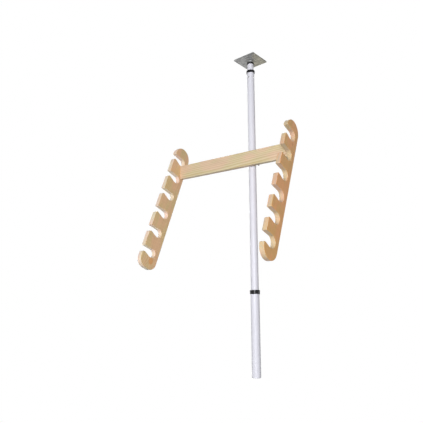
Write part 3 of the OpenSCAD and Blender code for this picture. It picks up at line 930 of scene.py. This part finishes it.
class RODRACK_OT_spring(bpy.types.Operator):
    """Model the coil spring, which here keeps one length, though on the pole it shortens as the head is
    pushed in
    """

    bl_idname = "rodrack.spring"
    bl_label = "Spring"

    def execute(self, context):
        sizes = context.scene.pole_sizes
        low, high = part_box("tension_spring")
        wire = sizes.wire / 2
        start = (high.x - wire, 0, low.z + wire)
        deselect()
        bpy.ops.mesh.primitive_circle_add(
            vertices=14, radius=wire, location=start, rotation=(math.radians(90), 0, 0)
        )
        coil = settle(named("coil_spring"))
        rise = (high.z - low.z - sizes.wire) / sizes.coils
        apply(
            coil, "SCREW", axis="Z", angle=math.tau, screw_offset=rise, iterations=sizes.coils,
            steps=40, render_steps=40, use_merge_vertices=True, merge_threshold=0.001 * MM,
        )
        for upper in (False, True):
            choose(coil, "EDGE", lambda e: e.is_boundary and (e.verts[0].co.z > low.z + rise) == upper)
            bpy.ops.mesh.edge_face_add()
        mend()
        stands_for(settle(coil), "tension_spring", finish("spring_wire"))
        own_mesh(coil)
        return {"FINISHED"}


class RODRACK_OT_foot_plug(bpy.types.Operator):
    """Model the off-white plug in the pole's lower end"""

    bl_idname = "rodrack.foot_plug"
    bl_label = "Foot plug"

    def execute(self, context):
        # A small button stands in the dish, and the plug is hollow above its floor
        low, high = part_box("foot_plug")
        depth = context.scene.pole_sizes.foot_dish
        dish, button = low.z + depth, low.z + depth * 0.6
        outer, wall, edge = high.x, 3 * MM, 0.5 * MM
        section = [
            (0, button), (1.4 * MM, button, BROKEN), (2.0 * MM, dish, BROKEN),
            (outer - 4.2 * MM, dish, edge), (outer - 3.4 * MM, low.z, edge),
            (outer - 1.0 * MM, low.z, edge), (outer, low.z + 1.0 * MM, 0.4 * MM), (outer, high.z, BROKEN),
            (outer - wall, high.z), (outer - wall, low.z + wall), (0, low.z + wall),
        ]
        stands_for(turned("foot_cap", section), "foot_plug", finish("foot_moulding"))
        return {"FINISHED"}


class RODRACK_OT_uprights(bpy.types.Operator):
    """Model the two pine uprights with their slots"""

    bl_idname = "rodrack.uprights"
    bl_label = "Uprights"

    def execute(self, context):
        sizes = context.scene.rack_sizes
        for side in ("tip", "butt"):
            node = side + "_upright"
            stands_for(self.upright(sizes, side, node), node, finish(side + "_pine"))
        return {"FINISHED"}

    def upright(self, sizes, side, node):
        """Drawn flat, with X across it and Y up it, then stood up and leaned."""
        keys = ("slot", "lip", "finger", "head", "toe", "toe_r")
        own = {key: getattr(sizes, f"{side}_{key}") for key in keys}
        low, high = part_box(node)
        thick = high.x - low.x
        last = -(sizes.slots - 1) * sizes.pitch
        wood = block(side + "_side", (-sizes.width, last - own["toe"], 0), (0, own["head"], thick))
        # The head's two roundings all but meet, and are then welded
        crown = sizes.width / 2 - 0.005 * MM
        bevel(wood, lambda edge: along(edge, Z) and edge.verts[0].co.y > 0, crown, 40)
        bevel(wood, lambda edge: along(edge, Z) and edge.verts[0].co.y < last, own["toe_r"], 28)
        mend(weld=0.02 * MM, outwards=False)
        cutter = drawn("cutter", self.slot_outline(sizes, own), thick + 2 * OVER)
        apply(
            settle(cutter, (0, 0, -OVER)), "ARRAY", count=sizes.slots, use_relative_offset=False,
            use_constant_offset=True, constant_offset_displace=(0, -sizes.pitch, 0),
        )
        combine(wood, cutter)
        self.stand(sizes, wood, low.x)
        for drill in self.plug_drills(sizes, low.x if side == "tip" else high.x):
            combine(wood, drill)
        return ease(wood, sizes.ease, segments=4, least=60)

    def slot_outline(self, sizes, own):
        """One slot: its round seat, the upper wall, the two finger corners, the lip and its ramp."""
        slot, lip, top, low = own["slot"], own["lip"], own["finger"], sizes.finger_low
        front, seat, mouth = -sizes.width, sizes.depth - sizes.width - slot / 2, slot - sizes.mouth_drop
        outline = arc((seat, slot / 2), slot / 2, -90, 90, 28)
        outline += arc((front + low, mouth + low), low, -90, -180, 5)
        outline += [(front - OVER, mouth + low), (front - OVER, lip - top)]
        outline += arc((front + top, lip - top), top, 180, 90, 10)
        ramp = [(front + sizes.lip_flat, lip, 6 * MM), (seat - sizes.lip_end, 0, 8 * MM)]
        return rounded(outline + ramp, steps=5)

    def stand(self, sizes, wood, place):
        """Stands a flat upright on edge, leans it and seats it against the board's end."""
        low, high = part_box("crossboard")
        wood.matrix_world = (
            Matrix.Translation((place, high.y, low.z))
            @ Matrix.Rotation(-sizes.lean, 4, "X")
            @ Matrix.Translation((0, sizes.margin, sizes.seat))
            @ Euler((math.radians(90), 0, math.radians(90))).to_matrix().to_4x4()
        )
        settle(wood)

    def plug_drills(self, sizes, outer):
        """The two holes for the wooden plugs, in the upright's outer face."""
        middle = middle_of("crossboard")
        for up in (-1, 1):
            drill = bar("drill", sizes.plug / 2 + FIT, -sizes.plug_depth, sizes.plug_depth)
            place = (outer, middle.y, middle.z + up * sizes.screw_spread)
            yield settle(drill, place, (0, math.radians(90), 0))


class RODRACK_OT_crossboard(bpy.types.Operator):
    """Model the crossboard, with the groove that clears the bush"""

    bl_idname = "rodrack.crossboard"
    bl_label = "Crossboard"

    def execute(self, context):
        low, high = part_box("crossboard")
        board = block("cross_board", low, high)
        clear = 0.3 * MM
        groove = bar("groove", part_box("pole_bush")[1].y + clear, low.z - OVER, high.z + OVER, sides=128)
        combine(board, groove)
        long = 20 * MM
        width = context.scene.rack_sizes.ease
        bevel(board, lambda edge: along(edge, X) and edge.calc_length() > long, width, 4)
        stands_for(settle(board), "crossboard", finish("planed_board"))
        return {"FINISHED"}


class RODRACK_OT_wood_plugs(bpy.types.Operator):
    """Model one wooden plug and copy it over the four joint screws"""

    bl_idname = "rodrack.wood_plugs"
    bl_label = "Wooden plugs"

    def execute(self, context):
        sizes = context.scene.rack_sizes
        middle = middle_of("crossboard")
        radius, depth = sizes.plug / 2, sizes.plug_depth
        section = [(0, 0), (radius, 0, 0.35 * MM), (radius, -depth, 0.4 * MM), (0, -depth)]
        plug = turned("plug_discs", section, sides=48)
        places = []
        for outer, turn in ((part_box("tip_upright")[0].x, -90), (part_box("butt_upright")[1].x, 90)):
            for up in (-1, 1):
                spot = (outer, middle.y, middle.z + up * sizes.screw_spread)
                places.append(Matrix.Translation(spot) @ Matrix.Rotation(math.radians(turn), 4, "Y"))
        stands_for(repeated(plug, places), "wood_plugs", finish("dowel_end_grain"))
        return {"FINISHED"}


class RODRACK_OT_bush(bpy.types.Operator):
    """Model the split nylon bush that the rack turns on"""

    bl_idname = "rodrack.bush"
    bl_label = "Bush"

    def execute(self, context):
        sizes = context.scene.clamp_sizes
        low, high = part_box("pole_bush")
        bore, flange, edge, tip = radius_of("upper_tube") + FIT, high.y, 0.5 * MM, 0.6 * MM
        barrel, under, over = bore + sizes.bush_wall, low.z + sizes.flange_t, high.z - sizes.flange_t
        section = [
            (bore, low.z, BROKEN), (flange, low.z, tip), (flange, under, edge), (barrel, under),
            (barrel, over), (flange, over, edge), (flange, high.z, tip), (bore, high.z, BROKEN),
        ]
        bush = turned("split_bush", section)
        slit = sizes.slit / 2
        combine(bush, block("saw", (0, -slit, low.z - OVER), (flange + OVER, slit, high.z + OVER)))
        stands_for(bush, "pole_bush", finish("dark_nylon"))
        return {"FINISHED"}


class RODRACK_OT_strap(bpy.types.Operator):
    """Model the bent steel strap behind the crossboard"""

    bl_idname = "rodrack.strap"
    bl_label = "Strap"

    def execute(self, context):
        sizes = context.scene.clamp_sizes
        low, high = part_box("clamp_strap")
        strap = drawn("bent_strap", self.outline(sizes, high), high.z - low.z)
        settle(strap, (0, 0, low.z))
        end, corner = high.x - 0.01 * MM, 4 * MM
        bevel(strap, lambda edge: along(edge, Y) and abs(edge.verts[0].co.x) > end, corner, 6)
        settle(strap)
        clear = 0.3 * MM
        hole = bar("drill", sizes.stud / 2 + clear, 0, high.y + OVER)
        combine(strap, settle(hole, (0, 0, middle_of("clamp_strap").z), BACKWARDS))
        ease(strap, 0.15 * MM, segments=2)
        stands_for(strap, "clamp_strap", finish("strap_plating"))
        return {"FINISHED"}

    def outline(self, sizes, high):
        """The strap from above: round the bush, with a flat land for the nut and two flat feet."""
        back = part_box("crossboard")[1].y
        t, bend, half = sizes.strap_t, sizes.bend, sizes.land / 2
        inner = radius_of("upper_tube") + 2 * FIT + sizes.bush_wall
        outer = inner + t
        start = math.degrees(math.asin(half / outer))
        left = [(-outer, back + t, bend), (-high.x, back + t), (-high.x, back), (-inner, back, bend + t)]
        right = [(-x, y, *radius) for x, y, *radius in reversed(left)]
        land = [(half, high.y, MM), (-half, high.y, MM)]
        corners = arc((0, 0), outer, 90 - start, 0, 20)[::-1] + land
        corners += arc((0, 0), outer, 90 + start, 180, 20) + left
        corners += arc((0, 0), inner, 180, 0, 40) + right
        return rounded(corners, steps=6)


class RODRACK_OT_strap_screws(bpy.types.Operator):
    """Model one cross-recessed screw and copy it to the strap's four holes"""

    bl_idname = "rodrack.strap_screws"
    bl_label = "Strap screws"

    def execute(self, context):
        sizes = context.scene.clamp_sizes
        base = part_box("crossboard")[1].y + sizes.strap_t
        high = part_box("strap_screws")[1]
        screw = self.screw(sizes, high.x - sizes.screw_x, high.y - base)
        clamp = middle_of("clamp_strap").z
        places = [
            Matrix.Translation((x * sizes.screw_x, base, clamp + z * sizes.screw_z))
            @ Matrix.Rotation(math.radians(-90), 4, "X")
            @ Matrix.Rotation(math.radians(turn), 4, "Z")
            for x, z, turn in ((-1, -1, 12), (-1, 1, 57), (1, -1, 31), (1, 1, 80))
        ]
        stands_for(repeated(screw, places), "strap_screws", finish("bright_plating"))
        return {"FINISHED"}

    def screw(self, sizes, head, rise):
        """A pan head of that radius and height, on a thread that is a row of rings."""
        shank, length, pitch = sizes.screw_d / 2, sizes.screw_len, 1.3 * MM
        section = [(0, rise)]
        section += [(head * s, rise * (1 - 0.22 * s * s)) for s in (0.25, 0.5, 0.7)]
        section += [(head * 0.97, rise * 0.62, 0.4 * MM), (head, 0, 0.2 * MM), (shank, 0)]
        for i in range(int((length - 3 * MM) / pitch)):
            z = -MM - i * pitch
            section += [(shank, z), (shank * 0.72, z - 0.55 * MM), (shank, z - 1.1 * MM)]
        section += [(shank * 0.8, -length + 1.5 * MM), (0, -length)]
        screw = turned("cross_screws", section, sides=36)
        long, thin, floor = 2.0 * MM, 0.45 * MM, rise - 1.2 * MM
        for turn in (0, 90):
            wing = block("recess", (-long, -thin, floor), (long, thin, rise + OVER))
            choose(wing, "FACE", lambda face: face.normal.z < -0.9)
            bpy.ops.transform.resize(value=(0.55, 0.8, 1), center_override=(0, 0, floor))
            combine(screw, settle(wing, rotation=(0, 0, math.radians(turn))))
        return screw


class RODRACK_OT_nut(bpy.types.Operator):
    """Model the chamfered hexagon nut on the strap"""

    bl_idname = "rodrack.nut"
    bl_label = "Nut"

    def execute(self, context):
        sizes = context.scene.clamp_sizes
        low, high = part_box("clamp_nut")
        thick, corner = high.y - low.y, (high.x - low.x) / 2
        nut = bar("hex_nut", corner, 0, thick, sides=6)
        settle(nut, rotation=(0, 0, math.radians(30)))
        bevel(nut, lambda edge: along(edge, Z), 0.15 * MM, 3)
        flat = 0.97 * corner * math.cos(math.radians(30))
        past, chamfer = corner + 0.3 * MM, 0.9 * MM
        lens = [(0, 0), (flat, 0), (past, chamfer), (past, thick - chamfer), (flat, thick), (0, thick)]
        combine(nut, turned("lens", lens, sides=72), "INTERSECT")
        bore = sizes.stud / 2 + FIT
        sink, first, last = bore + 0.4 * MM, 0.1 * MM, 0.5 * MM
        tap = [
            (0, -OVER), (sink, -OVER), (sink, first), (bore, last), (bore, thick - last),
            (sink, thick - first), (sink, thick + OVER), (0, thick + OVER),
        ]
        combine(nut, turned("tap", tap, sides=48))
        settle(nut, (0, low.y, middle_of("clamp_nut").z), BACKWARDS)
        stands_for(nut, "clamp_nut", finish("bright_plating"))
        return {"FINISHED"}


class RODRACK_OT_knob(bpy.types.Operator):
    """Model the lobed knob and its threaded stud"""

    bl_idname = "rodrack.knob"
    bl_label = "Knob and stud"

    def execute(self, context):
        sizes = context.scene.clamp_sizes
        clamp = middle_of("knob_stud").z
        for node, make, material, crease in (
            ("clamp_knob", self.knob, "knob_black", 35), ("knob_stud", self.stud, "bright_plating", 25),
        ):
            low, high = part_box(node)
            piece = settle(make(sizes, high.y - low.y), (0, low.y, clamp), BACKWARDS)
            stands_for(piece, node, finish(material), crease)
        return {"FINISHED"}

    def knob(self, sizes, thick):
        """Lobes with rounded hollows between them, a dished face and the stud's hole underneath."""
        at, lobe, count = sizes.lobe_at, sizes.lobe_r, sizes.lobes
        points, power = count * 32, 14  # a higher power draws tighter hollows
        outline = []
        for i in range(points):
            turn = math.tau * i / points
            off = (turn * count + math.pi) % math.tau / count - math.pi / count
            reach = lobe**2 - (at * math.sin(off)) ** 2
            star = at * math.cos(off) + math.sqrt(reach) if reach > 0 else 0
            soft = (at**power + max(star, 0.2 * at) ** power) ** (1 / power)
            radius = min(soft, at + lobe)
            outline.append((radius * math.cos(turn), radius * math.sin(turn)))
        knob = ease(drawn("lobed_knob", outline, thick), 1.1 * MM, segments=4)
        rim, dish, hole = 1.5 * MM, 0.7 * MM, 8 * MM
        choose(knob, "FACE", lambda face: face.normal.z > 0.99 and face.calc_area() > (5 * MM) ** 2)
        bpy.ops.mesh.inset(thickness=rim)
        bpy.ops.mesh.extrude_region_move(TRANSFORM_OT_translate={"value": (0, 0, -dish)})
        bpy.ops.transform.resize(value=(0.94, 0.94, 1), center_override=(0, 0, thick))
        return combine(settle(knob), bar("drill", sizes.stud / 2 + FIT, -OVER, hole))

    def stud(self, sizes, length):
        """A rod with a chamfered end, on which each turn of the thread is a ring."""
        radius, pitch = sizes.stud / 2, sizes.thread
        root = radius - 0.3 * pitch
        section = [(0, 0), (radius * 0.72, 0), (radius - 0.3 * MM, 0.6 * MM)]
        for i in range(int(length / pitch) - 1):
            z = 0.7 * MM + i * pitch
            section += [(root, z), (radius, z + 0.42 * pitch), (radius, z + 0.55 * pitch)]
        section += [(radius * 0.85, length), (0, length)]
        return turned("threaded_stud", section, sides=40)


class RODRACK_OT_hidden_pieces(bpy.types.Operator):
    """Paint the CAD nodes that stay as they are, most of them inside the pole"""

    bl_idname = "rodrack.hidden_pieces"
    bl_label = "Hidden pieces"

    def execute(self, context):
        for node, material in (
            ("ceiling_pad", "rubber_sheet"), ("plate_screw", "bright_plating"),
            ("spring_plunger", "natural_nylon"), ("spring_seat", "natural_nylon"),
            ("tube_guide", "natural_nylon"), ("lock_collet", "natural_nylon"),
            ("joint_screws", "bright_plating"),
        ):
            solid = frame["nodes"][node]
            solid.data.materials.clear()
            solid.data.materials.append(finish(material))
        return {"FINISHED"}


class RODRACK_OT_stage(bpy.types.Operator):
    """Add the floor, the soft lights and the camera"""

    bl_idname = "rodrack.stage"
    bl_label = "Stage"

    def execute(self, context):
        sizes = context.scene.stage_sizes
        self.floor(sizes)
        self.surround(context.scene)
        for name, place, wide, watts in (
            ("key_light", (1.05, -2.42, -0.75), 1.0, 66),
            ("side_light", (-1.35, -2.00, -1.70), 1.0, 18),
            ("back_light", (-1.60, 2.10, 0.40), 1.6, 45),
        ):
            self.light(name, Vector(place), wide, watts)
        self.camera(context.scene, sizes)
        context.scene.view_settings.view_transform = "Standard"
        return {"FINISHED"}

    def floor(self, sizes):
        """A pale floor that keeps the shadow near the object and fades to white farther out."""
        deselect()
        bpy.ops.mesh.primitive_plane_add(size=14, location=(0, 0, -sizes.floor))
        floor = named("pale_floor")
        material = bpy.data.materials.new("pale_floor")
        material.use_nodes = True
        nodes = Nodes(material.node_tree)
        nodes.tree.nodes.remove(nodes.tree.nodes["Principled BSDF"])
        seen = self.seen(nodes)
        east, north, _ = nodes.parts(nodes.place())
        away = (east**2 + north**2) ** 0.5
        shade = nodes.mix(seen, (0.22, 0.22, 0.22), (0.86, 0.86, 0.86))
        near = nodes.add("ShaderNodeBsdfDiffuse", None, {"Color": shade})
        far = nodes.add("ShaderNodeEmission", None, {"Color": (1, 1, 1, 1), "Strength": 1.0})
        clear = nodes.add("ShaderNodeBsdfTransparent", None, {"Color": (1, 1, 1, 1)})
        under = nodes.add("ShaderNodeNewGeometry").output("Backfacing")
        fade = nodes.step(away, 0.15, 0.70, 0.45, 1) * seen
        top = nodes.add("ShaderNodeMixShader", None, {0: fade, 1: near, 2: far})
        both = nodes.add("ShaderNodeMixShader", None, {0: under, 1: top, 2: clear})
        self.surface(nodes, both, "Material Output")
        floor.data.materials.append(material)
        floor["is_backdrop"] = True

    def seen(self, nodes):
        """1 for rays that show the backdrop itself, straight or in gloss or glass."""
        rays = nodes.add("ShaderNodeLightPath")
        glossy = rays.output("Is Glossy Ray").most(rays.output("Is Transmission Ray"))
        return rays.output("Is Camera Ray").most(glossy)

    def surface(self, nodes, shader, output):
        """Links a shader to the node tree's output."""
        nodes.tree.links.new(shader.socket, nodes.tree.nodes[output].inputs["Surface"])

    def surround(self, scene):
        """A white backdrop, and an even light that is stronger from above."""
        scene.world = bpy.data.worlds.new("studio")
        scene.world.use_nodes = True
        nodes = Nodes(scene.world.node_tree)
        nodes.tree.nodes.remove(nodes.tree.nodes["Background"])
        height = nodes.parts(nodes.add("ShaderNodeTexCoord").output("Generated"))[2]
        strength = nodes.step(height, -0.6, 0.8, 0.12, 0.26)
        cream = {"Color": (1, 0.985, 0.95, 1), "Strength": strength}
        soft = nodes.add("ShaderNodeBackground", None, cream)
        white = nodes.add("ShaderNodeBackground", None, {"Color": (1, 1, 1, 1), "Strength": 1.0})
        mixed = nodes.add("ShaderNodeMixShader", None, {0: self.seen(nodes), 1: soft, 2: white})
        self.surface(nodes, mixed, "World Output")

    def light(self, name, place, wide, watts):
        """One large square soft light that points at the object's middle."""
        deselect()
        bpy.ops.object.light_add(type="AREA", location=place)
        lamp = bpy.context.object
        lamp.name = lamp.data.name = name
        middle = (CAD_BOX[0] + CAD_BOX[1]) / 2
        lamp.rotation_euler = (middle - place).to_track_quat("-Z", "Y").to_euler()
        lamp.data.shape, lamp.data.size, lamp.data.energy = "SQUARE", wide, watts
        lamp.data.color = (0.98, 0.99, 1.03)

    def camera(self, scene, sizes):
        """The camera stands where it stood for the photograph, and looks slightly up."""
        bpy.ops.object.camera_add(location=sizes.camera)
        camera = bpy.context.object
        camera.name = camera.data.name = "photo_camera"
        camera.matrix_world = (
            Matrix.Translation(sizes.camera)
            @ Matrix.Rotation(sizes.azimuth, 4, "Z")
            @ Matrix.Rotation(math.radians(90) + sizes.pitch, 4, "X")
            @ Matrix.Rotation(sizes.roll, 4, "Z")
        )
        camera.data.sensor_width, camera.data.lens = 36, sizes.lens
        scene.camera = camera


# The add-on

GROUPS = {
    "head_sizes": HeadSizes,
    "pole_sizes": PoleSizes,
    "rack_sizes": RackSizes,
    "clamp_sizes": ClampSizes,
    "rack_colours": Colours,
    "stage_sizes": StageSizes,
}
STEPS = (
    RODRACK_OT_ceiling_plate,
    RODRACK_OT_head_plug,
    RODRACK_OT_tubes,
    RODRACK_OT_collars,
    RODRACK_OT_stop_rivets,
    RODRACK_OT_spring,
    RODRACK_OT_foot_plug,
    RODRACK_OT_uprights,
    RODRACK_OT_crossboard,
    RODRACK_OT_wood_plugs,
    RODRACK_OT_bush,
    RODRACK_OT_strap,
    RODRACK_OT_strap_screws,
    RODRACK_OT_nut,
    RODRACK_OT_knob,
    RODRACK_OT_hidden_pieces,
    RODRACK_OT_stage,
)


class RODRACK_PT_sidebar(bpy.types.Panel):
    """Lists the sizes and the steps"""

    bl_idname = "RODRACK_PT_sidebar"
    bl_label = "Rod rack"
    bl_space_type = "VIEW_3D"
    bl_region_type = "UI"
    bl_category = "Rod rack"

    def draw(self, context):
        for step in STEPS:
            self.layout.operator(step.bl_idname)
        for name, group in GROUPS.items():
            column = self.layout.column(heading=name.replace("_", " ").title())
            for key in group.__annotations__:
                column.prop(getattr(context.scene, name), key)


def register():
    for kind in (*GROUPS.values(), *STEPS, RODRACK_PT_sidebar):
        bpy.utils.register_class(kind)
    for name, group in GROUPS.items():
        setattr(bpy.types.Scene, name, PointerProperty(type=group))


def unregister():
    for name in GROUPS:
        delattr(bpy.types.Scene, name)
    for kind in (RODRACK_PT_sidebar, *reversed(STEPS), *GROUPS.values()):
        bpy.utils.unregister_class(kind)


def main():
    """Builds the pieces in order."""
    register()
    for step in STEPS:
        getattr(bpy.ops.rodrack, step.bl_idname.split(".")[1])()
    boxes = {"cad": CAD_BOX, "visual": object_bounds()}
    {name: [list(corner) for corner in box] for name, box in boxes.items()}


if __name__ == "__main__":
    main()
